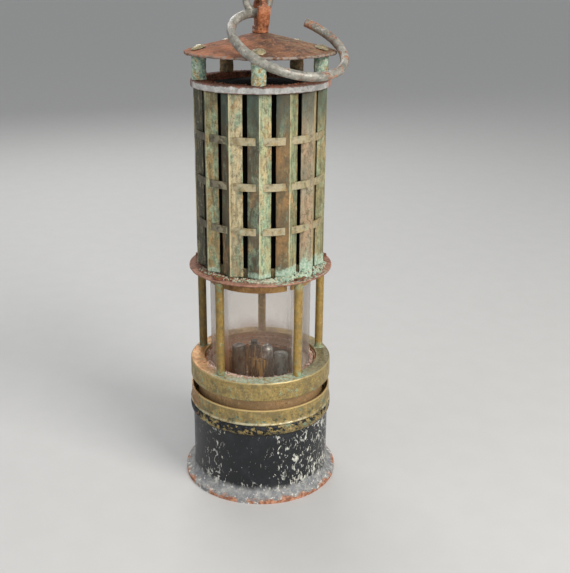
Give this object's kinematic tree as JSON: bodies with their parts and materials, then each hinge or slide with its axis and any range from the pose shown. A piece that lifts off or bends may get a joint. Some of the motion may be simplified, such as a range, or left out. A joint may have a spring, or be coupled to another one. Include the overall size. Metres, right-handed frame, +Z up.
{
  "type": "miner's safety lamp",
  "caption": "Miner's flame safety lamp: screw-on fuel tank, glass in a pillar cage, slatted bonnet over gauze, riveted cap with a swivel eye and a hook.",
  "frame": {"origin": "centre of the foot's underside, on the lamp's axis", "axes": "+Z up along the lamp's axis, -Y the front as the lamp stands, +X to the right seen from the front"},
  "size_m": [0.092, 0.097, 0.2861],
  "materials": {
    "tank_paint": "worn black paint, chipped to grey-white primer, orange rust on the rim",
    "tank_steel": "dull tinned steel sheet with rust stains",
    "inner_brass": "dull brass, not polished",
    "collar_brass": "olive-gold brass with green patina, its bead painted black and chipped",
    "fibre": "dark pressed fibre",
    "cotton": "loose cotton wadding",
    "burner_brass": "sooty brass",
    "dark_steel": "sooty steel",
    "nozzle_steel": "grey steel",
    "wick_cotton": "woven cotton, charred at the top",
    "neck_brass": "dusty brown brass",
    "ring_brass": "golden brass, worn edges, verdigris at the pillar feet",
    "rusty_iron": "crusted rust",
    "packing": "crumbled white and pink packing",
    "glass": "dusty glass, stained low down",
    "strap_brass": "warm brass",
    "mid_rust": "pinkish red rust",
    "gauze": "sooty wire gauze",
    "band_brass": "dull brass strip with green film",
    "top_iron": "grey zinc coat with rust on the upper edge",
    "spacer_verdigris": "mint verdigris over brass",
    "cap_rust": "red-brown rust, orange at the left",
    "rivet_brass": "beige brass",
    "eye_rust": "orange-brown forged iron",
    "hook_steel": "grey zinc-coated steel with rust patches",
    "pillar_brass": "olive-gold brass with green spots",
    "slat_brass": "brass with mint verdigris, ochre and brown patches, worn bright on the crest"
  },
  "bodies": {
    "tank": {"tank_shell": "tank_paint", "tank_floor": "tank_steel", "tank_top": "inner_brass", "collar": "collar_brass", "filler_plug": "inner_brass", "filler_gasket": "fibre", "wadding": "cotton", "burner": "burner_brass", "wick_guide": "dark_steel", "wick_bush": "inner_brass", "igniter_case": "dark_steel", "igniter_nozzle": "nozzle_steel", "igniter_bush": "inner_brass"},
    "wick_adjuster": {"wick_spindle": "inner_brass", "wick_knob": "inner_brass"},
    "wick": {"wick": "wick_cotton"},
    "igniter": {"igniter_spindle": "inner_brass", "igniter_knob": "dark_steel"},
    "washer": {"seal_washer": "fibre"},
    "cage": {"neck_ring": "neck_brass", "lower_ring": "ring_brass", "glass_seat": "rusty_iron", "lower_gasket": "packing", "glass": "glass", "upper_gasket": "packing", "split_ring": "strap_brass", "mid_ring": "mid_rust", "pillar_ends": "rusty_iron", "bonnet_foot": "inner_brass", "gauze_outer": "gauze", "gauze_inner": "gauze", "pillar_1": "pillar_brass", "pillar_2": "pillar_brass", "pillar_3": "pillar_brass", "pillar_4": "pillar_brass", "pillar_5": "pillar_brass", "slat_01": "slat_brass", "slat_02": "slat_brass", "slat_03": "slat_brass", "slat_04": "slat_brass", "slat_05": "slat_brass", "slat_06": "slat_brass", "slat_07": "slat_brass", "slat_08": "slat_brass", "slat_09": "slat_brass", "slat_10": "slat_brass", "slat_11": "slat_brass", "slat_12": "slat_brass", "slat_13": "slat_brass", "slat_14": "slat_brass", "band_lower": "band_brass", "band_middle": "band_brass", "band_upper": "band_brass", "top_ring": "top_iron", "spacers": "spacer_verdigris", "cap": "cap_rust", "cap_rivets": "rivet_brass"},
    "eye": {"eye": "eye_rust", "eye_washer": "rusty_iron"},
    "hook": {"hook": "hook_steel"}
  },
  "joints": [
    {"name": "frame_turn", "type": "hinge", "parent": "tank", "child": "washer", "pos_m": [0, 0, 0.0476], "axis": [0, 0, 1], "range_deg": [0, 720]},
    {"name": "frame_lift", "type": "slide", "parent": "washer", "child": "cage", "axis": [0, 0, 1], "range_m": [0, 0.006]},
    {"name": "wick_turn", "type": "hinge", "parent": "tank", "child": "wick_adjuster", "pos_m": [-0.0128, 0, 0.0075], "axis": [0, 0, 1], "range_deg": [0, 540]},
    {"name": "wick_lift", "type": "slide", "parent": "tank", "child": "wick", "axis": [0, 0, 1], "range_m": [0, 0.006]},
    {"name": "igniter_turn", "type": "hinge", "parent": "tank", "child": "igniter", "pos_m": [0.0122, -0.0015, 0.0075], "axis": [0, 0, 1], "continuous": true},
    {"name": "eye_swivel", "type": "hinge", "parent": "cage", "child": "eye", "pos_m": [0, 0, 0.261], "axis": [0, 0, 1], "continuous": true},
    {"name": "hook_swing", "type": "hinge", "parent": "eye", "child": "hook", "pos_m": [-0.0013, 0.0002, 0.2713], "axis": [-0.9511, -0.309, 0], "range_deg": [0, 120]}
  ],
  "couplings": [
    {"joint": "frame_lift", "follows": "frame_turn", "m_per_rad": 0.00047746},
    {"joint": "wick_lift", "follows": "wick_turn", "m_per_rad": 0.00063662}
  ]
}
